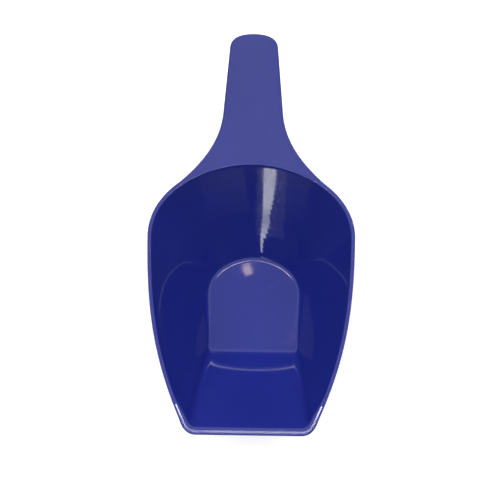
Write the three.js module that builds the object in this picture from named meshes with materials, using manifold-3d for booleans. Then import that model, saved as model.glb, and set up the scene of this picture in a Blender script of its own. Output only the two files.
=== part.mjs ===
// A moulded feed scoop: a deep bowl with a flat arched floor, a steep front ramp and a cone-like back wall,
// and a flat-topped handle that flares into the back of the rim. The handle is an upside-down channel with
// stiffening ribs under it. Everything is one shot of plastic, so the model is one closed solid.
//
// Millimetres. The origin is the middle of the base the scoop stands on, +Z is up, the handle points along +Y
// and the pouring lip faces -Y. The scoop is the same on both sides of the plane X = 0.
import * as THREE from "three";
import { mergeVertices } from "three/addons/utils/BufferGeometryUtils.js";
import Module from "manifold-3d";

const wasm = await Module();
wasm.setup();

// Driving dimensions
const WALL = 2.6; // thickness of the bowl, measured square to its surface
const HALF_WIDTH = 85.7; // widest half of the rim
const LIP_Y = -103.2; // front edge of the pouring lip
const BACK_Y = 123.5; // back of the rim, where the handle starts
const TIP_Y = 228.1; // end of the handle
const RIM_HEIGHT = 80; // the rim's top is level all round

const FLOOR_HALF_WIDTH = 41.3;
const FLOOR_FRONT_HALF = 40.3; // the floor is a little narrower at its front
const FLOOR_FRONT_Y = -41;
const FLOOR_ARCH_Y = 8.2; // where the straight sides of the floor end and its arch starts
const FLOOR_ARCH_RISE = 34.2;
const ARCH_SHOULDER = 0.72; // how full the arch's shoulders are, as a share of its rise
const ARCH_CROWN = 0.36; // how wide its flat crown is, as a share of the half width
const FLOOR_CORNER = 4.5;
const FLOOR_FILLET = 6; // between the floor and the walls, inside

const RIM_WIDTH = 3.2; // the rim's flat top, at the sides and the back
const LIP_WIDTH = 6; // the same at the pouring lip, which is reinforced
const RIM_ROUND = 0.9; // rounding of the rim's edges
const LIP_ROUND = 4; // the lip's inner edge is rounder, so that feed slides out over it
const BEAD_FACE = 2.8; // height of the rim's outer face
const BEAD_DEPTH = 4; // how far below the rim's top the bead's underside meets the wall

const HANDLE_STEP = 0.1; // the handle's top lies this far below the rim, so nearly flush with it
const PLATE = 3; // thickness of the handle's top plate
const SKIRT = 2.6; // thickness of the walls that hang from the plate's edge
const HANDLE_ROUND = 2; // rounding of the handle's top edge
const SKIRT_DEPTH = 14.5; // depth of the channel under the grip
const ROOT_Y = 90; // the handle is built from here, inside the bowl's wall, and cut back to the wall
const RIB = 2; // thickness of every rib
const RIB_DEPTH = 10.5; // how far below the handle's top the cross ribs reach
const RIB_GAP = 18; // distance between the two long ribs, middle to middle
const RIB_END_Y = 216; // where the long ribs stop, short of the handle's end
const GUSSET_DEPTH = 35; // how far below the handle's top the long ribs run down the bowl
const CROSS_RIBS = [146, 168, 190, 211]; // where the cross ribs stand along the handle

// How finely the curves are cut
const LIP_STEPS = 4;
const CORNER_STEPS = 6;
const SIDE_STEPS = 52;
const FILLET_STEPS = 4;
const ROUND_STEPS = 3;
const HANDLE_STEPS = 14;
const WALL_STEPS = 3;
const WALL_BITE = 0.8; // how far the handle sinks into the bowl's wall, so that the two join

const v2 = (x, y) => new THREE.Vector2(x, y);
const bezier = (...points) => new THREE.CubicBezierCurve(...points.map((p) => v2(...p)));

function chain(...curves) {
  const path = new THREE.CurvePath();
  curves.forEach((curve) => path.add(curve));
  return path;
}

// Points along the curves of half an outline, each cut into its own number of equal steps.
function steppedHalf(parts) {
  return parts.flatMap(([curve, steps], i) => curve.getSpacedPoints(steps).slice(i ? 1 : 0));
}

// A half outline runs from the middle of the lip round to the middle of the back, both on X = 0.
function mirrored(half) {
  const other = half.slice(1, -1).reverse();
  return [...half, ...other.map((p) => v2(-p.x, p.y))];
}

// The rim's outer edge seen from above.
function rimOutline() {
  const lipEnd = v2(43.5, LIP_Y);
  const sideStart = v2(57.2, -91);
  const widest = [HALF_WIDTH, 60];
  const lip = new THREE.LineCurve(v2(0, LIP_Y), lipEnd);
  const corner = new THREE.QuadraticBezierCurve(lipEnd, v2(53.4, LIP_Y), sideStart);
  const side = bezier(sideStart.toArray(), [79.4, -39.3], [HALF_WIDTH, -1.2], widest);
  const back = bezier(widest, [HALF_WIDTH, 99], [40, BACK_Y], [0, BACK_Y]);
  return mirrored(steppedHalf([[lip, LIP_STEPS], [corner, CORNER_STEPS], [chain(side, back), SIDE_STEPS]]));
}

// The edge of the inside floor seen from above, with as many points as the rim's outline.
function floorOutline() {
  const cornerY = FLOOR_FRONT_Y + FLOOR_CORNER;
  const frontEnd = FLOOR_FRONT_HALF - FLOOR_CORNER;
  const front = new THREE.LineCurve(v2(0, FLOOR_FRONT_Y), v2(frontEnd, FLOOR_FRONT_Y));
  const corner = new THREE.EllipseCurve(frontEnd, cornerY, FLOOR_CORNER, FLOOR_CORNER, -Math.PI / 2, 0);
  const side = new THREE.LineCurve(v2(FLOOR_FRONT_HALF, cornerY), v2(FLOOR_HALF_WIDTH, FLOOR_ARCH_Y));
  const crownY = FLOOR_ARCH_Y + FLOOR_ARCH_RISE;
  const shoulder = [FLOOR_HALF_WIDTH, FLOOR_ARCH_Y + ARCH_SHOULDER * FLOOR_ARCH_RISE];
  const crown = [ARCH_CROWN * FLOOR_HALF_WIDTH, crownY];
  const arch = bezier([FLOOR_HALF_WIDTH, FLOOR_ARCH_Y], shoulder, crown, [0, crownY]);
  return mirrored(steppedHalf([[front, LIP_STEPS], [corner, CORNER_STEPS], [chain(side, arch), SIDE_STEPS]]));
}

// Outward unit normals of a closed outline that runs anticlockwise.
function normalsOf(outline) {
  return outline.map((_, i) => {
    const before = outline.at(i - 1);
    const after = outline[(i + 1) % outline.length];
    return v2(after.y - before.y, before.x - after.x).normalize();
  });
}

// An outline moved out along its normals, by one distance or by a list of one for each point.
function offset(outline, normals, distance) {
  const by = (i) => (typeof distance === "number" ? distance : distance[i]);
  return outline.map((p, i) => p.clone().addScaledVector(normals[i], by(i)));
}

// What changes smoothly from the lip's value to the rest of the rim's over the front corners.
const pastLip = (y, atLip, elsewhere) =>
  THREE.MathUtils.lerp(atLip, elsewhere, THREE.MathUtils.smoothstep(y, LIP_Y + 6, LIP_Y + 34));

// A closed solid from a stack of rings, each with the same number of points, closed at both ends by a fan.
function skin(rings) {
  const count = rings[0].length;
  const middle = (ring) => ring.reduce((sum, p) => sum.add(p), new THREE.Vector3()).divideScalar(count);
  const points = [...rings.flat(), middle(rings[0]), middle(rings.at(-1))];
  const firstHub = points.length - 2;
  const lastHub = points.length - 1;
  const lastRing = (rings.length - 1) * count;
  const faces = [];
  for (let i = 0; i < count; i++) {
    const j = (i + 1) % count;
    faces.push(firstHub, i, j, lastHub, lastRing + j, lastRing + i);
    for (let base = 0; base < lastRing; base += count) {
      const [a, b, c, d] = [base + i, base + j, base + count + j, base + count + i];
      // The two halves of a ring are cut along opposite diagonals, so that they mirror each other.
      faces.push(...(i < count / 2 ? [a, d, c, a, c, b] : [a, d, b, b, d, c]));
    }
  }
  return new THREE.BufferGeometry().setFromPoints(points).setIndex(faces);
}

// Rings for the edge between a flat sheet at height z and a wall, rounded to the radius given. The corner is
// at outline[i], and the wall climbs from it towards top[i] at height topZ.
function filletRings(outline, z, top, topZ, radius) {
  const rings = [];
  for (let k = 0; k <= FILLET_STEPS; k++) {
    rings.push(outline.map((corner, i) => {
      const along = top[i].clone().sub(corner);
      const slope = Math.atan2(topZ - z, along.length());
      const turn = (slope * k) / FILLET_STEPS;
      const out = radius * (Math.sin(turn) - Math.tan(slope / 2));
      const p = corner.clone().addScaledVector(along.normalize(), out);
      return new THREE.Vector3(p.x, p.y, z + radius * (1 - Math.cos(turn)));
    }));
  }
  return rings;
}

const lift = (outline, z) => outline.map((p) => new THREE.Vector3(p.x, p.y, z));

function betweenRings(low, high, steps) {
  return Array.from({ length: steps - 1 }, (_, k) =>
    low.map((p, i) => p.clone().lerp(high[i], (k + 1) / steps)));
}

// The bowl's outlines, which the shell and the cutter that keeps it clear both use.
const rimOuter = rimOutline();
const rimNormals = normalsOf(rimOuter);
const rimWidths = rimOuter.map((p) => pastLip(p.y, LIP_WIDTH, RIM_WIDTH));
const rimInner = offset(rimOuter, rimNormals, rimWidths.map((w) => -w));
const floorInner = floorOutline();

// The wall's slope at each point, and from it the wall's outer skin at any height and at the base.
const slopes = floorInner.map((p, i) => Math.atan2(RIM_HEIGHT - WALL, rimInner[i].distanceTo(p)));
const wallOuterAt = (z) =>
  offset(rimInner, rimNormals, slopes.map((s) => WALL / Math.sin(s) - (RIM_HEIGHT - z) / Math.tan(s)));
const BEAD_UNDERSIDE = RIM_HEIGHT - BEAD_DEPTH;
const floorOuter = offset(floorInner, normalsOf(floorInner), slopes.map((s) => WALL * Math.tan(s / 2)));

// The rim's top edges, both rounded: over the inner one from the wall's slope, then down to the outer face.
function rimRings() {
  const shares = Array.from({ length: ROUND_STEPS + 1 }, (_, k) => k / ROUND_STEPS);
  const ring = (edge, radius, out, drop) => edge.map((p, i) => {
    const moved = p.clone().addScaledVector(rimNormals[i], radius(p.y) * out(slopes[i]));
    return new THREE.Vector3(moved.x, moved.y, RIM_HEIGHT - radius(p.y) * drop(slopes[i]));
  });
  const inner = shares.map((share) => ring(rimInner, (y) => pastLip(y, LIP_ROUND, RIM_ROUND),
    (slope) => Math.tan(slope / 2) - Math.sin(slope * (1 - share)),
    (slope) => 1 - Math.cos(slope * (1 - share))));
  const outer = shares.map((share) => ring(rimOuter, () => RIM_ROUND,
    () => Math.sin((share * Math.PI) / 2) - 1,
    () => 1 - Math.cos((share * Math.PI) / 2)));
  return [...inner, ...outer];
}

function bowlRings() {
  const inner = filletRings(floorInner, WALL, rimInner, RIM_HEIGHT, FLOOR_FILLET);
  const rim = rimRings();
  const wallTop = wallOuterAt(BEAD_UNDERSIDE);
  const outerTop = lift(wallTop, BEAD_UNDERSIDE);
  const outer = filletRings(floorOuter, 0, wallTop, BEAD_UNDERSIDE, FLOOR_FILLET + WALL).reverse();
  return [
    ...inner,
    ...betweenRings(inner.at(-1), rim[0], WALL_STEPS),
    ...rim,
    lift(rimOuter, RIM_HEIGHT - BEAD_FACE),
    outerTop,
    ...betweenRings(outerTop, outer[0], WALL_STEPS),
    ...outer,
  ];
}

// The bowl filled level with its rim: what the handle must stay out of. It lies inside the wall's thickness.
function filledBowlRings() {
  const above = RIM_HEIGHT + 1;
  const top = wallOuterAt(above);
  const outer = filletRings(floorOuter, WALL_BITE, top, above, FLOOR_FILLET + WALL).reverse();
  return [lift(top, above), ...outer].map((ring) => ring.map((p, i) =>
    new THREE.Vector3(p.x - rimNormals[i].x * WALL_BITE, p.y - rimNormals[i].y * WALL_BITE, p.z)));
}

// The handle seen from above, from where it leaves the rim on one side, round its tip, to the other side.
// It is closed across the bowl, well inside the rim.
function handleOutline() {
  const flare = bezier([63.5, 102.2], [28.4, 130.4], [25.5, 152.8], [24.5, 164.4]);
  const grip = new THREE.LineCurve(v2(24.5, 164.4), v2(19.9, 216.5));
  const tip = bezier([19.9, 216.5], [19.4, 224.5], [12, TIP_Y], [0, TIP_Y]);
  const half = steppedHalf([[flare, HANDLE_STEPS], [grip, 3], [tip, HANDLE_STEPS]]);
  return [v2(60, 92), ...half, ...half.slice(0, -1).reverse().map((p) => v2(-p.x, p.y)), v2(-60, 92)];
}

// Manifold solids from three.js geometry, and back.
function solidOf(geometry) {
  const bare = geometry.clone().deleteAttribute("normal").deleteAttribute("uv");
  const merged = mergeVertices(bare, 1e-4);
  return new wasm.Manifold(new wasm.Mesh({
    numProp: 3,
    vertProperties: merged.attributes.position.array,
    triVerts: new Uint32Array(merged.index.array),
  }));
}

function geometryOf(solid) {
  const mesh = solid.getMesh();
  const geometry = new THREE.BufferGeometry();
  geometry.setAttribute("position", new THREE.BufferAttribute(mesh.vertProperties, 3));
  geometry.setIndex(new THREE.BufferAttribute(mesh.triVerts, 1));
  geometry.computeVertexNormals();
  return geometry;
}

// An outline pulled down from a height, with its top edge rounded if a radius is given.
function slab(outline, top, depth, round = 0) {
  const geometry = new THREE.ExtrudeGeometry(new THREE.Shape(outline), {
    depth: depth - 2 * round,
    bevelEnabled: round > 0,
    bevelThickness: round,
    bevelSize: round,
    bevelOffset: -round,
    bevelSegments: ROUND_STEPS,
  });
  return solidOf(geometry.translate(0, 0, top - depth + round));
}

// A side view, drawn as (along Y, up Z), given a thickness across X with its middle at x.
function sideProfile(points, x, thickness) {
  const shape = new THREE.Shape(points.map(([y, z]) => v2(y, z)));
  const geometry = new THREE.ExtrudeGeometry(shape, { depth: thickness, bevelEnabled: false });
  geometry.rotateY(Math.PI / 2).rotateX(Math.PI / 2).translate(x - thickness / 2, 0, 0);
  return solidOf(geometry);
}

// Everything below the channel's lower edge. The channel is deepest under the grip, and rises to nothing
// where the skirt runs into the rim.
function underHandle(top) {
  const edge = new THREE.CatmullRomCurve3([
    [ROOT_Y, -3.2], [104, -4.4], [124, -10.5], [146, -SKIRT_DEPTH], [180, -SKIRT_DEPTH], [212, -12],
    [TIP_Y + 6, -9.5],
  ].map(([y, z]) => new THREE.Vector3(0, y, top + z)));
  const line = edge.getPoints(HANDLE_STEPS * 2).map((p) => [p.y, p.z]);
  return sideProfile([[ROOT_Y, 0], ...line, [TIP_Y + 6, 0]].reverse(), 0, 4 * HALF_WIDTH);
}

function handleSolid() {
  const top = RIM_HEIGHT - HANDLE_STEP;
  const depth = 2 * SKIRT_DEPTH; // deep enough to be cut to the channel's lower edge
  const outline = handleOutline();
  const inset = (distance) => offset(outline, normalsOf(outline), -distance);
  const channel = slab(outline, top, depth, HANDLE_ROUND)
    .subtract(slab(inset(SKIRT), top - PLATE, depth))
    .subtract(underHandle(top));
  const insideSkirt = slab(inset(SKIRT / 2), top - PLATE / 2, 2 * GUSSET_DEPTH);
  const ribs = [
    ...CROSS_RIBS.map((y) => crossRib(y, top)),
    ...[-RIB_GAP / 2, RIB_GAP / 2].map((x) => longRib(x, top)),
  ];
  return ribs.reduce((whole, rib) => whole.add(rib.intersect(insideSkirt)), channel);
}

function crossRib(y, top) {
  const rib = new THREE.BoxGeometry(2 * HALF_WIDTH, RIB, RIB_DEPTH);
  return solidOf(rib.translate(0, y, top - RIB_DEPTH / 2));
}

// A long rib keeps inside the channel along the grip, then sweeps down the back wall as a gusset.
function longRib(x, top) {
  const foot = top - GUSSET_DEPTH;
  const sweep = new THREE.QuadraticBezierCurve(v2(150, top - 12.5), v2(111, top - 13.5), v2(ROOT_Y, foot));
  const lower = sweep.getPoints(HANDLE_STEPS).map((p) => p.toArray());
  const tip = [[RIB_END_Y, top], [RIB_END_Y, top - 8]];
  return sideProfile([...tip, ...lower, [ROOT_Y - 6, foot], [ROOT_Y - 6, top]].reverse(), x, RIB);
}

const bowl = solidOf(skin(bowlRings()));
const handle = handleSolid().subtract(solidOf(skin(filledBowlRings())));
const scoop = new THREE.Mesh(
  geometryOf(bowl.add(handle)),
  new THREE.MeshStandardMaterial({ color: 0x23309a, roughness: 0.28, metalness: 0 }),
);
scoop.name = "scoop";

const feedScoop = new THREE.Group();
feedScoop.add(scoop);
export default feedScoop;
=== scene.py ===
import math

import bmesh
import bpy
import numpy as np
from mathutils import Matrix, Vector


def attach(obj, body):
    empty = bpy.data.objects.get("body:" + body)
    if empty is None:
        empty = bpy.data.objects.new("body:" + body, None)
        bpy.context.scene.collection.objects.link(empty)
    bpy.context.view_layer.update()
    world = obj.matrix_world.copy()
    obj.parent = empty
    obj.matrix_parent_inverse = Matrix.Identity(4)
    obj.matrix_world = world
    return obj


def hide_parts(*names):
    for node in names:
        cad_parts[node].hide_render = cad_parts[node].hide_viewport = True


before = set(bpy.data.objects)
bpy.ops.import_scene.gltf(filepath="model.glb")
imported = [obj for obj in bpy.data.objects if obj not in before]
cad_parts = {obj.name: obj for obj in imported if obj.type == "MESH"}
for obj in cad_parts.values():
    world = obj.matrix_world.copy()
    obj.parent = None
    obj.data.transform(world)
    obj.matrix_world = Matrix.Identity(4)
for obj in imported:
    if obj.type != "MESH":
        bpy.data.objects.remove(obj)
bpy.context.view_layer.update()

MM = 0.001

# Driving dimensions, the same as the CAD's
WALL = 2.6
HALF_WIDTH = 85.7
LIP_Y = -103.2
BACK_Y = 123.5
TIP_Y = 228.1
RIM_HEIGHT = 80.0

FLOOR_HALF_WIDTH = 41.3
FLOOR_FRONT_HALF = 40.3
FLOOR_FRONT_Y = -41.0
FLOOR_ARCH_Y = 8.2
FLOOR_ARCH_RISE = 34.2
ARCH_SHOULDER = 0.72
ARCH_CROWN = 0.36
FLOOR_CORNER = 4.5
FLOOR_FILLET = 6.0

RIM_WIDTH = 3.2
LIP_WIDTH = 6.0
RIM_ROUND = 0.9
LIP_ROUND = 4.0
LIP_BLEND = (LIP_Y + 6, LIP_Y + 34)  # the stretch in Y where the lip's land narrows to the rim's
BEAD_DEPTH = 4.0
BEAD_FACE = 2.8
BEAD_ROUND = 0.5
BEAD_FILLET = 0.6

HANDLE_STEP = 0.1
HANDLE_TOP = RIM_HEIGHT - HANDLE_STEP
PLATE = 3.0
SKIRT = 2.6
SKIRT_DRAFT = 0.2
SKIRT_ROUND = 0.9
SKIRT_FILLET = 1.2
HANDLE_ROUND = 2.0
SKIRT_DEPTH = 14.5
RIB = 2.0
RIB_TIP_ROUND = 0.6
RIB_ROOT_FILLET = 0.8
RIB_DRAFT = 0.1
RIB_GAP = 18.0
RIB_DEPTH = 10.5
RIB_END_DEPTH = 8.0
GUSSET_DEPTH = 35.0
GUSSET_START = (150.0, 12.5)  # Y and depth where the long ribs start their sweep down the back wall
GUSSET_BEND = (111.0, 13.5)  # the sweep's control point, in Y and depth
ROOT_Y = 90.0
ROOT_BITE = 4.0  # how far the long ribs reach on past the handle's root
RIB_END_Y = 216.0
CROSS_RIBS = (146.0, 168.0, 190.0, 211.0)
WALL_BITE = 0.8  # how far the handle sinks into the bowl's wall
FILL_OVER = 1.0  # how far the filled bowl that the handle is cut back to stands over the rim
GATE_Y = 6.0  # the injection gate, in the middle of the floor

# The handle's outline, on the right: where the flare leaves the bowl, and both ends of the grip
FLARE_START = (63.5, 102.2)
GRIP_START = (24.5, 164.4)
GRIP_END = (19.9, 216.5)
# The skirt's lower edge: (Y, Z below the handle's top)
UNDER_EDGE = (
    (80, -3.2),
    (ROOT_Y, -3.2),
    (104, -4.4),
    (124, -10.5),
    (146, -SKIRT_DEPTH),
    (180, -SKIRT_DEPTH),
    (212, -12),
    (TIP_Y + 6, -9.5),
)
# How the floor's two faces close in round the gate: (share of the outline, circle's radius, height)
INSIDE_HUB = (
    (0.93, 0, 0), (0.8, 0.6, 0), (0.6, 1.4, 0), (0.4, 2.2, 0), (0.2, 3.0, 0), (0, 3.6, 0),
    (0, 3.0, -0.01), (0, 2.4, -0.025), (0, 1.8, -0.035), (0, 1.0, -0.04),
)
UNDER_HUB = (
    (0.95, 0, 0), (0.8, 1.0, 0), (0.6, 3.0, 0), (0.4, 5.0, 0), (0.2, 7.0, 0), (0, 8.6, 0),
    (0, 8.2, 0.06), (0, 7.8, 0.25), (0, 7.2, 0.5), (0, 6.5, 0.6),
    (0, 2.6, 0.6), (0, 1.9, 0.45), (0, 1.5, 0.2), (0, 1.0, 0.12),
)

# How finely the shapes are cut
LIP_STEPS, CORNER_STEPS, SIDE_STEPS = 18, 22, 190
CLOSING_STEPS, FLARE_STEPS, GRIP_STEPS, TIP_STEPS = 30, 90, 50, 50
BOWL_STRAIGHTS = (30, 2, 2, 1, 24)
CHANNEL_STRAIGHTS = (6, 1, 4)
ARC_STEPS = 7
RIB_ROUND_POINTS = 5
CROSS_RIB_STATIONS = 9
GUSSET_STATIONS, GRIP_STATIONS = 60, 12
FINE = 600
WELD = 1e-7
ROUND_SHARE = 0.48  # how much of the shorter run beside a corner its round may take
# How far a section's ends lie beyond its last rounds. Only their direction counts.
BOWL_RUN_ON = 30.0
CHANNEL_RUN_ON = 12.0

# The plastic
CREASE = math.radians(32)
BLUE = (0.0122, 0.0200, 0.206)
# Paler blue for the convex edges: partly stress whitening, partly a painted highlight where edges catch the
# light
WHITENED_AND_HIGHLIT_BLUE = (0.060, 0.075, 0.290, 1)
CLOUDING = 0.035
SPECKLING = 0.012
WHITENED_AND_HIGHLIT_SHARE = 0.3
PALE_EDGE_DULLING = 0.08
PLASTIC_IOR = 1.49
WORN_FRONT = (LIP_Y + 6, LIP_Y + 28)
POLISHED = {
    "gloss": 0.03, "haze": 0.04, "worn": 0.14, "shine": 0.5,
    "grain_height": 0.0000004, "scratch_height": 0.0000015,
}
SATIN = {
    "gloss": 0.46, "haze": 0.06, "worn": 0, "shine": 0.42,
    "grain_height": 0.000006, "scratch_height": 0.000003,
}

# The camera, which hangs over the bowl and looks straight down, in metres
CAMERA_LENS = 78.7
CAMERA_SENSOR = 36
CAMERA_ABOVE_RIM = 0.900
CAMERA_SIDE = 0.036
CAMERA_X = -0.0009
CAMERA_Y = 0.0503
CAMERA_ROLL = math.radians(0.83)

# The room. Bands are given as the Z of a direction: a lower and an upper bound.
WORLD_BAND = (0.45, 0.85)
WORLD_LOW, WORLD_HIGH = 0.10, 3.1
WORLD_ZENITH = 0.42
WORLD_LEAN = 1.55
WORLD_BELOW = 0.8
BELOW_BAND = (-0.30, -0.05)
ZENITH_BAND = (0.90, 0.99)
MIRRORED_BAND = (0.25, 0.65)
MIRRORED_LOW, MIRRORED_HIGH = 0.10, 1.5
MIRRORED_ZENITH = 0.68
BACKDROP = 1.3

# The long softbox overhead. Its bounds are slopes from the vertical, towards the front and to the side.
BANK_RADIANCE = 44.0
BANK_NEAR = (0.100, 0.112)
BANK_FAR = (0.142, 0.154)
BANK_MIDDLE = (0.0, 0.07)
BANK_MIDDLE_SHARE = 0.6
BANK_ENDS = (0.085, 0.095)
BANK_LOWEST = 0.3
FIRST_REFLECTION = 2.5

# The white paper under the scoop
PAPER_SIZE = 6
PAPER_DROP = 0.0002
PAPER_WHITE = (0.93, 0.93, 0.93, 1)
PAPER_ROUGHNESS = 0.9
PAPER_SHINE = 0.1
PAPER_GLOW = 0.35

# A lamp beside the camera, which shows as a warm spot on the bowl's floor
LAMP_PLACE = (-0.0565, 0.0095, 1.2)
LAMP_TARGET = (0, 0.03, 0)
LAMP_SIZE = (0.020, 0.016)
LAMP_RADIANCE = 9.0
LAMP_COLOUR = (1.0, 0.76, 0.62)

# The small lights along the floor's arch
GLINT_STRIDE = 8
GLINT_RISE = 1.2
GLINT_TILT = 0.35
SIDE_GLINT_FORWARD, SIDE_GLINT_TALL, SIDE_GLINT_RADIANCE = 5, 1.4, 0.3
RAMP_GLINT_FORWARD, RAMP_GLINT_TALL, RAMP_GLINT_RADIANCE = 9, 1.6, 0.24
RAMP_GLINT_SPREAD = math.radians(80)

# The streak of light down the back wall: (Z, lowest X, highest X, radiance) of the lights it mirrors
STREAK = (
    (8.0, -7.00, -6.50, 0.9),
    (19.5, -7.75, -6.70, 1.0),
    (25.5, -8.90, -7.00, 1.0),
    (36.3, -10.45, -7.80, 0.65),
    (43.5, -10.45, -8.30, 0.7),
    (54.0, -11.70, -8.75, 1.1),
    (68.6, -12.90, -9.35, 1.15),
    (92.0, -14.40, -10.35, 1.15),
)
STREAK_PIECES = 18
# The fainter bands beside it
VEILS = (
    ((24.0, -14.5, -4.5, 0.03), (92.0, -17.0, -8.0, 0.06)),
    ((48.0, -2.5, 12.5, 0.01), (92.0, -2.0, 14.5, 0.04)),
    ((48.0, -25.5, -14.5, 0.01), (92.0, -28.5, -15.5, 0.03)),
)
VEIL_PIECES = 4
STREAK_LIGHTS_Y = -30
STREAK_TARGET = (10.5, 90, 12.6)  # X and Y, and how far it lies above each light
STREAK_SPREAD = math.radians(70)


def line(a, b):
    return np.linspace(a, b, FINE)


def bezier(*points):
    t = np.linspace(0, 1, FINE)[:, None]
    curves = [np.array(p, float)[None, :] for p in points]
    while len(curves) > 1:
        curves = [a + (b - a) * t for a, b in zip(curves, curves[1:])]
    return curves[0]


def ellipse(centre, rx, ry, start, end):
    turn = np.linspace(start, end, FINE)
    return np.column_stack([centre[0] + rx * np.cos(turn), centre[1] + ry * np.sin(turn)])


def spaced(curve, steps):
    """The curve cut into equal lengths."""
    along = np.concatenate([[0], np.cumsum(np.linalg.norm(np.diff(curve, axis=0), axis=1))])
    even = np.linspace(0, along[-1], steps + 1)
    return np.column_stack([np.interp(even, along, column) for column in curve.T])


def half_outline(*parts):
    cut = [spaced(curve, steps) for curve, steps in parts]
    return np.vstack([cut[0]] + [points[1:] for points in cut[1:]])


def mirrored(half):
    """A closed outline from its right half, which starts and ends on X = 0."""
    return np.vstack([half, half[-2:0:-1] * [-1, 1]])


def unit(v):
    return v / np.maximum(np.linalg.norm(v, axis=-1, keepdims=True), 1e-12)


def normals_of(outline):
    ahead = np.roll(outline, -1, axis=0) - np.roll(outline, 1, axis=0)
    return unit(np.column_stack([ahead[:, 1], -ahead[:, 0]]))


def eased(y, y0, y1, a, b):
    t = np.clip((y - y0) / (y1 - y0), 0, 1)
    return a + (b - a) * t * t * (3 - 2 * t)


def lift(outline, z):
    return np.column_stack([outline, np.broadcast_to(z, len(outline))])


def rim_outline():
    lip_end, side_start, widest = (43.5, LIP_Y), (57.2, -91.0), (HALF_WIDTH, 60.0)
    lip = line((0, LIP_Y), lip_end)
    corner = bezier(lip_end, (53.4, LIP_Y), side_start)
    side = bezier(side_start, (79.4, -39.3), (HALF_WIDTH, -1.2), widest)
    back = bezier(widest, (HALF_WIDTH, 99.0), (40.0, BACK_Y), (0, BACK_Y))
    side_and_back = np.vstack([side, back[1:]])
    return mirrored(half_outline((lip, LIP_STEPS), (corner, CORNER_STEPS), (side_and_back, SIDE_STEPS)))


def floor_outline():
    corner_y = FLOOR_FRONT_Y + FLOOR_CORNER
    front_end = FLOOR_FRONT_HALF - FLOOR_CORNER
    front = line((0, FLOOR_FRONT_Y), (front_end, FLOOR_FRONT_Y))
    corner = ellipse((front_end, corner_y), FLOOR_CORNER, FLOOR_CORNER, -math.pi / 2, 0)
    side = line((FLOOR_FRONT_HALF, corner_y), (FLOOR_HALF_WIDTH, FLOOR_ARCH_Y))
    crown_y = FLOOR_ARCH_Y + FLOOR_ARCH_RISE
    shoulder = (FLOOR_HALF_WIDTH, FLOOR_ARCH_Y + ARCH_SHOULDER * FLOOR_ARCH_RISE)
    crown = (ARCH_CROWN * FLOOR_HALF_WIDTH, crown_y)
    arch = bezier((FLOOR_HALF_WIDTH, FLOOR_ARCH_Y), shoulder, crown, (0, crown_y))
    side_and_arch = np.vstack([side, arch[1:]])
    return mirrored(half_outline((front, LIP_STEPS), (corner, CORNER_STEPS), (side_and_arch, SIDE_STEPS)))


def corner_arc(before, corner, after, radius):
    """Rings of the arc that rounds a corner, at every station at once."""
    u, v = unit(before - corner), unit(after - corner)
    half = np.arccos(np.clip((u * v).sum(1), -1, 1)) / 2
    shorter = np.minimum(np.linalg.norm(before - corner, axis=1), np.linalg.norm(after - corner, axis=1))
    reach = np.minimum(radius / np.tan(half), ROUND_SHARE * shorter)
    size = (reach * np.tan(half))[:, None]
    centre = corner + unit(u + v) * size / np.sin(half)[:, None]
    start, end = corner + u * reach[:, None] - centre, corner + v * reach[:, None] - centre
    turn = np.maximum(math.pi - 2 * half, 1e-6)[:, None]
    rings = []
    for share in np.linspace(0, 1, ARC_STEPS + 1):
        blend = np.sin((1 - share) * turn) * start + np.sin(share * turn) * end
        rings.append(centre + blend / np.sin(turn))
    return rings


def section(points, radii, straights):
    """Rings along a section. The points are its corners at every station, the radii round the corners
    between its ends, and the straights say how many steps each run between two rounds is cut into."""
    rings = []
    last = None
    for k in range(1, len(points) - 1):
        arc = corner_arc(points[k - 1], points[k], points[k + 1], radii[k - 1])
        if last is not None:
            shares = np.linspace(0, 1, straights[k - 2] + 1)[1:-1]
            rings += [last + (arc[0] - last) * share for share in shares]
        rings += arc
        last = arc[-1]
    return rings


def tube(rings):
    """Quads between successive closed rings, as one vertex array and a face list."""
    count = len(rings[0])
    faces = []
    for r in range(len(rings) - 1):
        a, b = r * count, (r + 1) * count
        faces += [(a + i, a + (i + 1) % count, b + (i + 1) % count, b + i) for i in range(count)]
    return np.vstack(rings), faces


def mesh_object(name, vertices, faces):
    """A closed mesh object in metres, with its faces turned outwards."""
    mesh = bpy.data.meshes.new(name)
    mesh.from_pydata((np.asarray(vertices) * MM).tolist(), [], faces)
    b = bmesh.new()
    b.from_mesh(mesh)
    bmesh.ops.remove_doubles(b, verts=b.verts, dist=WELD)
    bmesh.ops.recalc_face_normals(b, faces=b.faces)
    b.to_mesh(mesh)
    b.free()
    obj = bpy.data.objects.new(name, mesh)
    bpy.context.scene.collection.objects.link(obj)
    return obj


def hub_rings(ring, hub, levels):
    """Rings that carry a flat outline in to circles round a hub, one for each level. A level is a share of
    the outline, a circle's radius and a height above the ring."""
    arms = ring[:, :2] - hub
    turn = unit(arms)
    return [lift(hub + arms * share + turn * radius, ring[:, 2] + rise) for share, radius, rise in levels]


def ladder(count, base, flip):
    """Faces that close a ring whose points mirror each other about its first one."""
    half = count // 2
    faces = [(base, base + 1, base + count - 1)]
    faces += [(base + i, base + i + 1, base + count - i - 1, base + count - i) for i in range(1, half - 1)]
    faces.append((base + half - 1, base + half, base + half + 1))
    return [f[::-1] for f in faces] if flip else faces


def laddered(name, rings):
    """A closed solid: a tube of rings, closed at both ends by a ladder."""
    vertices, faces = tube(rings)
    count = len(rings[0])
    faces += ladder(count, 0, True) + ladder(count, len(vertices) - count, False)
    return mesh_object(name, vertices, faces)


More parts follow.
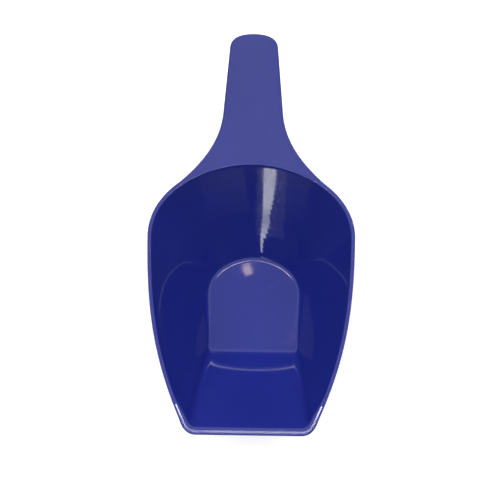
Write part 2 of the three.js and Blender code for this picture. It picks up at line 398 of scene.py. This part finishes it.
# The bowl's outlines, point for point: the rim's outer and inner edges, and the floor's two faces
rim_outer = rim_outline()
rim_normals = normals_of(rim_outer)
rim_widths = eased(rim_outer[:, 1], *LIP_BLEND, LIP_WIDTH, RIM_WIDTH)
rim_rounds = eased(rim_outer[:, 1], *LIP_BLEND, LIP_ROUND, RIM_ROUND)
rim_inner = rim_outer - rim_normals * rim_widths[:, None]
floor_inner = floor_outline()
floor_normals = normals_of(floor_inner)
slopes = np.arctan2(RIM_HEIGHT - WALL, np.linalg.norm(rim_inner - floor_inner, axis=1))
floor_outer = floor_inner + floor_normals * (WALL * np.tan(slopes / 2))[:, None]


def wall_outer_at(z):
    """The wall's outer skin at a height."""
    reach = WALL / np.sin(slopes) - (RIM_HEIGHT - z) / np.tan(slopes)
    return rim_inner + rim_normals * reach[:, None]


def bowl():
    climb = unit(rim_inner - floor_inner)
    wall_top = wall_outer_at(RIM_HEIGHT - BEAD_DEPTH)
    climb_outer = unit(wall_top - floor_outer)
    corners = [
        lift(floor_inner - climb * BOWL_RUN_ON, WALL),
        lift(floor_inner, WALL),
        lift(rim_inner, RIM_HEIGHT),
        lift(rim_outer, RIM_HEIGHT),
        lift(rim_outer, RIM_HEIGHT - BEAD_FACE),
        lift(wall_top, RIM_HEIGHT - BEAD_DEPTH),
        lift(floor_outer, 0),
        lift(floor_outer - climb_outer * BOWL_RUN_ON, 0),
    ]
    radii = [FLOOR_FILLET, rim_rounds, RIM_ROUND, BEAD_ROUND, BEAD_FILLET, FLOOR_FILLET + WALL]
    rings = section(corners, radii, BOWL_STRAIGHTS)
    hub = np.array([0, GATE_Y])
    inside_caps = hub_rings(rings[0], hub, INSIDE_HUB)
    under_caps = hub_rings(rings[-1], hub, UNDER_HUB)
    vertices, faces = tube(inside_caps[::-1] + rings + under_caps)
    count = len(rim_outer)
    first, last = len(vertices), len(vertices) + 1
    end = len(vertices) - count
    vertices = np.vstack([vertices, [[0, GATE_Y, WALL + INSIDE_HUB[-1][2]], [0, GATE_Y, UNDER_HUB[-1][2]]]])
    faces += [(first, (i + 1) % count, i) for i in range(count)]
    faces += [(last, end + i, end + (i + 1) % count) for i in range(count)]
    return mesh_object("scoop_moulding", vertices, faces)


def filled_bowl():
    """What the handle is cut back to: the bowl filled to its rim, a little inside the wall's outer skin."""
    top_z = RIM_HEIGHT + FILL_OVER
    top = lift(wall_outer_at(top_z) - rim_normals * WALL_BITE, top_z)
    base = lift(floor_outer - rim_normals * WALL_BITE, WALL_BITE)
    return laddered("filled_bowl", [top, base])


def handle_outline():
    """The handle seen from above. Behind the rim it is closed across the bowl, where it gets cut away."""
    closing = bezier((0, 84), (48, 84), (72.9, 94.7), FLARE_START)
    flare = bezier(FLARE_START, (28.4, 130.4), (25.5, 152.8), GRIP_START)
    grip = line(GRIP_START, GRIP_END)
    tip = bezier(GRIP_END, (19.4, 224.5), (12, TIP_Y), (0, TIP_Y))
    runs = (closing, CLOSING_STEPS), (flare, FLARE_STEPS), (grip, GRIP_STEPS), (tip, TIP_STEPS)
    return mirrored(half_outline(*runs))


def along_knots(y, knots):
    """A smooth curve through (y, z) knots."""
    ys, zs = np.array(knots, float).T
    tangents = np.gradient(zs, ys)
    k = np.clip(np.searchsorted(ys, y) - 1, 0, len(ys) - 2)
    step = ys[k + 1] - ys[k]
    t = (y - ys[k]) / step
    lead = (2 * t - 3) * t * t
    return ((lead + 1) * zs[k] - lead * zs[k + 1]
            + ((t - 2) * t + 1) * t * step * tangents[k] + (t - 1) * t * t * step * tangents[k + 1])


def channel():
    """The handle's plate with the skirt that hangs from its edge."""
    outline = handle_outline()
    normals = normals_of(outline)
    inner = outline - normals * SKIRT
    under = HANDLE_TOP - PLATE
    corners = [
        lift(outline - normals * CHANNEL_RUN_ON, HANDLE_TOP),
        lift(outline, HANDLE_TOP),
        lift(outline, HANDLE_TOP + along_knots(outline[:, 1], UNDER_EDGE)),
        lift(inner, HANDLE_TOP + along_knots(inner[:, 1], UNDER_EDGE)),
        lift(inner - normals * SKIRT_DRAFT, under),
        lift(inner - normals * CHANNEL_RUN_ON, under),
    ]
    radii = [HANDLE_ROUND, SKIRT_ROUND, SKIRT_ROUND, SKIRT_FILLET]
    return laddered("channel", section(corners, radii, CHANNEL_STRAIGHTS))


def rib_ring(low, high):
    """A rib's cross section: a rounded tip, drafted sides and a flared root in the plate."""
    half = RIB / 2
    root = HANDLE_TOP - PLATE
    quarter = np.linspace(0, math.pi / 2, RIB_ROUND_POINTS)
    tip_x = half - (RIB_TIP_ROUND + RIB_DRAFT)
    root_x = half + (RIB_ROOT_FILLET + RIB_DRAFT)
    tip = [(math.sin(a) * RIB_TIP_ROUND + tip_x, low + RIB_TIP_ROUND - math.cos(a) * RIB_TIP_ROUND)
           for a in quarter]
    flare = [(root_x - math.cos(a) * RIB_ROOT_FILLET, root - RIB_ROOT_FILLET + math.sin(a) * RIB_ROOT_FILLET)
             for a in quarter]
    right = [(0, low)] + tip + flare + [(root_x, high)]
    left = [(-x, z) for x, z in right[:0:-1]]
    return right + [(0, high)] + left


def cross_rib(y):
    """A rib across the channel, from the middle of one skirt to the middle of the other."""
    outline = handle_outline()
    right = outline[:len(outline) // 2]
    reach = np.interp(y, right[:, 1], right[:, 0]) - SKIRT / 2
    points = rib_ring(HANDLE_TOP - RIB_DEPTH, HANDLE_TOP - PLATE / 2)
    stations = np.linspace(-reach, reach, CROSS_RIB_STATIONS)
    rings = [np.array([(x, y + across, z) for across, z in points]) for x in stations]
    return laddered("cross_rib", rings)


def long_rib(x):
    """Keeps inside the channel along the grip, then sweeps down the back wall as a gusset."""
    root_y = ROOT_Y - ROOT_BITE
    sweep_y, sweep_depth = GUSSET_START
    bend_y, bend_depth = GUSSET_BEND
    foot = HANDLE_TOP - GUSSET_DEPTH
    sweep = bezier((sweep_y, HANDLE_TOP - sweep_depth), (bend_y, HANDLE_TOP - bend_depth), (ROOT_Y, foot))
    path = np.vstack([[root_y, foot], sweep[::-1], [RIB_END_Y, HANDLE_TOP - RIB_END_DEPTH]])
    gusset = np.linspace(root_y, sweep_y, GUSSET_STATIONS)
    stations = np.concatenate([gusset, np.linspace(sweep_y, RIB_END_Y, GRIP_STATIONS)[1:]])
    lows = np.interp(stations, path[:, 0], path[:, 1])
    rings = []
    for y, low in zip(stations, lows):
        points = rib_ring(low, HANDLE_TOP - PLATE / 2)
        rings.append(np.array([(x - across, y, z) for across, z in points]))
    return laddered("long_rib", rings)


def combine(target, other, operation):
    """A boolean of two closed meshes, applied to the first. The second is deleted."""
    modifier = target.modifiers.new(operation, "BOOLEAN")
    modifier.operation = operation
    modifier.object = other
    modifier.solver = "MANIFOLD"
    depsgraph = bpy.context.evaluated_depsgraph_get()
    mesh = bpy.data.meshes.new_from_object(target.evaluated_get(depsgraph))
    target.modifiers.clear()
    target.data = mesh
    bpy.data.objects.remove(other)


def whole_moulding():
    handle = channel()
    for y in CROSS_RIBS:
        combine(handle, cross_rib(y), "UNION")
    for x in (-RIB_GAP / 2, RIB_GAP / 2):
        combine(handle, long_rib(x), "UNION")
    combine(handle, filled_bowl(), "DIFFERENCE")
    whole = bowl()
    combine(whole, handle, "UNION")
    return whole


def within(points, outline):
    """Which points lie inside a closed outline, both seen from above."""
    x, y = points[:, 0, None], points[:, 1, None]
    ahead = np.roll(outline, -1, axis=0)
    climb = ahead[:, 1] - outline[:, 1]
    crosses = (outline[:, 1] > y) != (ahead[:, 1] > y)
    at = outline[:, 0] + (ahead[:, 0] - outline[:, 0]) * (y - outline[:, 1]) / np.where(climb == 0, 1, climb)
    return (crosses & (x < at)).sum(axis=1) % 2 == 1


def finish_surfaces(obj):
    """Smooth shading with sharp creases, and the polished material on the bowl's inside and its lip only."""
    mesh = obj.data
    count = len(mesh.polygons)
    centres, normals = np.empty(count * 3), np.empty(count * 3)
    mesh.polygons.foreach_get("center", centres)
    mesh.polygons.foreach_get("normal", normals)
    centres, normals = centres.reshape(-1, 3) / MM, normals.reshape(-1, 3)
    over_lip = eased(rim_outer[:, 1], *LIP_BLEND, LIP_WIDTH, 0)
    mouth = rim_inner + rim_normals * np.maximum(rim_rounds * np.tan(slopes / 2), over_lip)[:, None]
    inside = (normals[:, 2] > 0) & (centres[:, 2] > WALL / 2) & within(centres, mouth)
    mesh.polygons.foreach_set("material_index", np.where(inside, 0, 1))
    mesh.polygons.foreach_set("use_smooth", np.ones(count, dtype=bool))
    mesh.set_sharp_from_angle(angle=CREASE)


class Nodes:
    """Short names for building a node tree."""

    def __init__(self, tree):
        self.tree = tree

    def add(self, kind, **settings):
        node = self.tree.nodes.new(kind)
        for name, value in settings.items():
            setattr(node, name, value)
        return node

    def put(self, socket, value):
        if isinstance(value, bpy.types.NodeSocket):
            self.tree.links.new(value, socket)
        else:
            socket.default_value = value

    def maths(self, operation, a, b=0.0, clamp=False):
        node = self.add("ShaderNodeMath", operation=operation, use_clamp=clamp)
        self.put(node.inputs[0], a)
        self.put(node.inputs[1], b)
        return node.outputs[0]

    def remap(self, value, low, high, to_low, to_high):
        """An eased step from one value to another, between two bounds."""
        node = self.add("ShaderNodeMapRange", interpolation_type="SMOOTHSTEP")
        for socket, given in zip(node.inputs, (value, low, high, to_low, to_high)):
            self.put(socket, given)
        return node.outputs[0]

    def noise(self, at, scale, detail, roughness=0.5, stretch=(1, 1, 1)):
        mapping = self.add("ShaderNodeMapping")
        self.put(mapping.inputs["Vector"], at)
        self.put(mapping.inputs["Scale"], stretch)
        node = self.add("ShaderNodeTexNoise")
        self.put(node.inputs["Vector"], mapping.outputs[0])
        self.put(node.inputs["Scale"], scale)
        self.put(node.inputs["Detail"], detail)
        self.put(node.inputs["Roughness"], roughness)
        return node.outputs[0]

    def mix(self, share, a, b):
        node = self.add("ShaderNodeMix", data_type="RGBA")
        self.put(node.inputs["Factor"], share)
        self.put(node.inputs["A"], a)
        self.put(node.inputs["B"], b)
        return node.outputs["Result"]


def plastic(name, gloss, haze, worn, shine, grain_height, scratch_height):
    """Blue polypropylene. Its roughness is gloss, raised by haze where it is smudged, and by worn at the
    lip, which the feed slides out over."""
    material = bpy.data.materials.new(name)
    material.use_nodes = True
    tree = material.node_tree
    tree.nodes.clear()
    n = Nodes(tree)
    at = n.add("ShaderNodeTexCoord").outputs["Object"]

    # The colour: soft clouds where the melt flowed, and paler on the edges, partly stress whitening and
    # partly a painted highlight where they catch the light
    flow = n.noise(at, scale=26, detail=3, roughness=0.55, stretch=(1, 0.35, 1))
    speck = n.noise(at, scale=900, detail=1)
    clouds = n.remap(flow, 0.3, 0.7, 1 - CLOUDING, 1 + CLOUDING)
    lightness = n.maths("ADD", clouds, n.remap(speck, 0.35, 0.65, -SPECKLING, SPECKLING))
    shaded = n.add("ShaderNodeVectorMath", operation="SCALE")
    n.put(shaded.inputs[0], BLUE)
    n.put(shaded.inputs["Scale"], lightness)
    pointed = n.add("ShaderNodeNewGeometry").outputs["Pointiness"]
    patchy = n.remap(n.noise(at, scale=140, detail=3, roughness=0.6), 0.42, 0.62, 0.15, 1)
    # The convex edges' mask: partly stress whitening, partly a painted highlight
    whitened_and_highlit_edges = n.maths("MULTIPLY", n.remap(pointed, 0.515, 0.56, 0, 1), patchy)
    colour = n.mix(n.maths("MULTIPLY", whitened_and_highlit_edges, WHITENED_AND_HIGHLIT_SHARE), shaded.outputs[0], WHITENED_AND_HIGHLIT_BLUE)

    # The finish: smudges, the pale edges and the worn front are duller
    smudge = n.remap(n.noise(at, scale=38, detail=4, roughness=0.62), 0.45, 0.75, 0, haze)
    parts = n.add("ShaderNodeSeparateXYZ")
    n.put(parts.inputs[0], at)
    front = n.remap(parts.outputs["Y"], WORN_FRONT[0] * MM, WORN_FRONT[1] * MM, worn, 0)
    dull = n.maths("ADD", front, n.maths("MULTIPLY", whitened_and_highlit_edges, PALE_EDGE_DULLING))
    roughness = n.maths("ADD", n.maths("ADD", smudge, gloss), dull, clamp=True)

    # The relief: the mould's grain, and fine scuffs that run along the scoop
    grain = n.noise(at, scale=1900, detail=2)
    scuff = n.remap(n.noise(at, scale=210, detail=2, roughness=0.4, stretch=(6, 0.35, 1)), 0.66, 0.71, 0, 1)
    raised = n.maths("MULTIPLY", grain, grain_height)
    relief = n.maths("ADD", raised, n.maths("MULTIPLY", scuff, -scratch_height))
    bump = n.add("ShaderNodeBump")
    n.put(bump.inputs["Height"], relief)
    n.put(bump.inputs["Distance"], 1.0)

    shader = n.add("ShaderNodeBsdfPrincipled")
    n.put(shader.inputs["Base Color"], colour)
    n.put(shader.inputs["Roughness"], roughness)
    n.put(shader.inputs["IOR"], PLASTIC_IOR)
    n.put(shader.inputs["Specular IOR Level"], shine)
    n.put(shader.inputs["Normal"], bump.outputs[0])
    out = n.add("ShaderNodeOutputMaterial")
    n.put(out.inputs["Surface"], shader.outputs[0])
    return material


def front_bank(n, parts, ray):
    """The long softbox, a little to the front of the vertical, which draws the bright lines along the
    floor's arch and the lip. It shows in a first reflection only."""
    forward = n.maths("DIVIDE", n.maths("MULTIPLY", parts.outputs["Y"], -1.0), parts.outputs["Z"])
    sideways = n.maths("DIVIDE", parts.outputs["X"], parts.outputs["Z"])
    aside = n.maths("ABSOLUTE", n.maths("ADD", sideways, CAMERA_SIDE / CAMERA_ABOVE_RIM))
    near = n.remap(forward, *BANK_NEAR, 0, BANK_RADIANCE)
    far = n.remap(forward, *BANK_FAR, 1, 0)
    middle = n.remap(aside, *BANK_MIDDLE, BANK_MIDDLE_SHARE, 1)
    ends = n.remap(aside, *BANK_ENDS, 1, 0)
    first = n.maths("LESS_THAN", ray.outputs["Ray Depth"], FIRST_REFLECTION)
    above = n.maths("GREATER_THAN", parts.outputs["Z"], BANK_LOWEST)
    shape = n.maths("MULTIPLY", n.maths("MULTIPLY", near, far), n.maths("MULTIPLY", middle, ends))
    return n.maths("MULTIPLY", shape, n.maths("MULTIPLY", first, above))


def studio_world():
    """The room's light. It differs for mirrored, scattered and camera rays, as a product photographer's
    cards and tents do."""
    world = bpy.data.worlds.new("studio")
    bpy.context.scene.world = world
    world.use_nodes = True
    tree = world.node_tree
    tree.nodes.clear()
    n = Nodes(tree)
    parts = n.add("ShaderNodeSeparateXYZ")
    n.put(parts.inputs[0], n.add("ShaderNodeTexCoord").outputs["Generated"])
    height = n.remap(parts.outputs["Z"], *WORLD_BAND, WORLD_LOW, WORLD_HIGH)
    height = n.maths("MULTIPLY", height, n.remap(parts.outputs["Z"], *ZENITH_BAND, 1.0, WORLD_ZENITH))
    lean = n.maths("ADD", n.maths("MULTIPLY", parts.outputs["Y"], WORLD_LEAN), 1.0)
    lean = n.maths("MAXIMUM", lean, 0.0)
    below = n.remap(parts.outputs["Z"], *BELOW_BAND, WORLD_BELOW, 0.0)
    ray = n.add("ShaderNodeLightPath")
    mirrored_height = n.remap(parts.outputs["Z"], *MIRRORED_BAND, MIRRORED_LOW, MIRRORED_HIGH)
    dimmed = n.remap(parts.outputs["Z"], *ZENITH_BAND, 1.0, MIRRORED_ZENITH)
    seen = n.add("ShaderNodeMix", data_type="FLOAT")
    n.put(seen.inputs["Factor"], ray.outputs["Is Glossy Ray"])
    n.put(seen.inputs["A"], n.maths("ADD", n.maths("MULTIPLY", height, lean), below))
    mirrored_glow = n.maths("ADD", n.maths("MULTIPLY", mirrored_height, dimmed), below)
    n.put(seen.inputs["B"], n.maths("ADD", mirrored_glow, front_bank(n, parts, ray)))
    glow = n.add("ShaderNodeBackground")
    n.put(glow.inputs["Strength"], seen.outputs["Result"])
    backdrop = n.add("ShaderNodeBackground")
    n.put(backdrop.inputs["Strength"], BACKDROP)
    both = n.add("ShaderNodeMixShader")
    n.put(both.inputs[0], ray.outputs["Is Camera Ray"])
    n.put(both.inputs[1], glow.outputs[0])
    n.put(both.inputs[2], backdrop.outputs[0])
    out = n.add("ShaderNodeOutputWorld")
    n.put(out.inputs["Surface"], both.outputs[0])


def studio_floor():
    """White paper, clear from below so that the underside can be looked at."""
    bpy.ops.mesh.primitive_plane_add(size=PAPER_SIZE, location=(0, 0, -PAPER_DROP))
    floor = bpy.context.object
    floor.name = "studio_floor"
    material = bpy.data.materials.new("white_paper")
    material.use_nodes = True
    shader = material.node_tree.nodes["Principled BSDF"]
    shader.inputs["Base Color"].default_value = PAPER_WHITE
    shader.inputs["Roughness"].default_value = PAPER_ROUGHNESS
    shader.inputs["Specular IOR Level"].default_value = PAPER_SHINE
    shader.inputs["Emission Color"].default_value = (1, 1, 1, 1)
    shader.inputs["Emission Strength"].default_value = PAPER_GLOW
    n = Nodes(material.node_tree)
    sides = n.add("ShaderNodeMixShader")
    n.put(sides.inputs[0], n.add("ShaderNodeNewGeometry").outputs["Backfacing"])
    n.put(sides.inputs[1], shader.outputs[0])
    n.put(sides.inputs[2], n.add("ShaderNodeBsdfTransparent").outputs[0])
    n.put(material.node_tree.nodes["Material Output"].inputs["Surface"], sides.outputs[0])
    floor.data.materials.append(material)


def camera():
    data = bpy.data.cameras.new("camera")
    data.sensor_width = CAMERA_SENSOR
    data.lens = CAMERA_LENS
    data.shift_x = -CAMERA_LENS / data.sensor_width * CAMERA_SIDE / CAMERA_ABOVE_RIM
    obj = bpy.data.objects.new("camera", data)
    bpy.context.scene.collection.objects.link(obj)
    obj.location = (CAMERA_X + CAMERA_SIDE, CAMERA_Y, RIM_HEIGHT * MM + CAMERA_ABOVE_RIM)
    obj.rotation_euler = (0, 0, CAMERA_ROLL)
    bpy.context.scene.camera = obj


def softbox(name, place, target, size, radiance, colour=(1, 1, 1)):
    """A rectangular light in metres that shows in reflections only."""
    data = bpy.data.lights.new(name, "AREA")
    data.shape = "RECTANGLE"
    data.size, data.size_y = size
    data.energy = radiance * math.pi * size[0] * size[1]
    data.color = colour
    light = bpy.data.objects.new(name, data)
    light.location = place
    light.rotation_euler = (Vector(target) - Vector(place)).to_track_quat("-Z", "Y").to_euler()
    bpy.context.scene.collection.objects.link(light)
    light.visible_camera = False
    light.visible_diffuse = False
    return light


def arch_glints():
    """Small lights along the floor's arch, for the bright line its fillet shows in the ramp and the sides."""
    arch = floor_inner[floor_inner[:, 1] > FLOOR_ARCH_Y][::GLINT_STRIDE]
    for a, b in zip(arch, arch[1:]):
        middle = Vector((*(a + b) / 2, WALL + GLINT_RISE)) * MM
        ahead = b - a
        length = np.linalg.norm(ahead) * MM
        inward = Vector((-ahead[1], ahead[0], 0)).normalized() + Vector((0, 0, GLINT_TILT))
        place = middle + Vector((0, -SIDE_GLINT_FORWARD * MM, 0))
        size = (length, SIDE_GLINT_TALL * MM)
        softbox("side_glint", place, middle + inward, size, SIDE_GLINT_RADIANCE)
        place = middle + Vector((0, -RAMP_GLINT_FORWARD * MM, 0))
        target = place + Vector((0, -1, GLINT_TILT))
        size = (length, RAMP_GLINT_TALL * MM)
        light = softbox("ramp_glint", place, target, size, RAMP_GLINT_RADIANCE)
        light.data.spread = RAMP_GLINT_SPREAD


def back_wall_lights(name, knots, pieces):
    """Small lights one above the other, facing the back wall, which mirrors them as one band."""
    columns = np.array(knots).T
    heights = np.linspace(columns[0][0], columns[0][-1], pieces + 1)
    middles = (heights[1:] + heights[:-1]) / 2
    tall = (heights[1] - heights[0]) * MM
    target_x, target_y, target_rise = STREAK_TARGET
    for z, low_x, high_x, radiance in np.column_stack([np.interp(middles, columns[0], c) for c in columns]):
        place = Vector(((low_x + high_x) / 2, STREAK_LIGHTS_Y, z)) * MM
        target = Vector((target_x, target_y, z + target_rise)) * MM
        light = softbox(name, place, target, ((high_x - low_x) * MM, tall), radiance)
        light.data.spread = STREAK_SPREAD


moulding = whole_moulding()
moulding.data.materials.clear()
moulding.data.materials.append(plastic("polished_polypropylene", **POLISHED))
moulding.data.materials.append(plastic("satin_polypropylene", **SATIN))
finish_surfaces(moulding)

arch_glints()
studio_world()
studio_floor()
camera()
softbox("camera_lamp", LAMP_PLACE, LAMP_TARGET, LAMP_SIZE, LAMP_RADIANCE, LAMP_COLOUR)
back_wall_lights("streak", STREAK, STREAK_PIECES)
for veil in VEILS:
    back_wall_lights("veil", veil, VEIL_PIECES)
bpy.context.scene.view_settings.view_transform = "Standard"

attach(moulding, "root")
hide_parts("scoop")
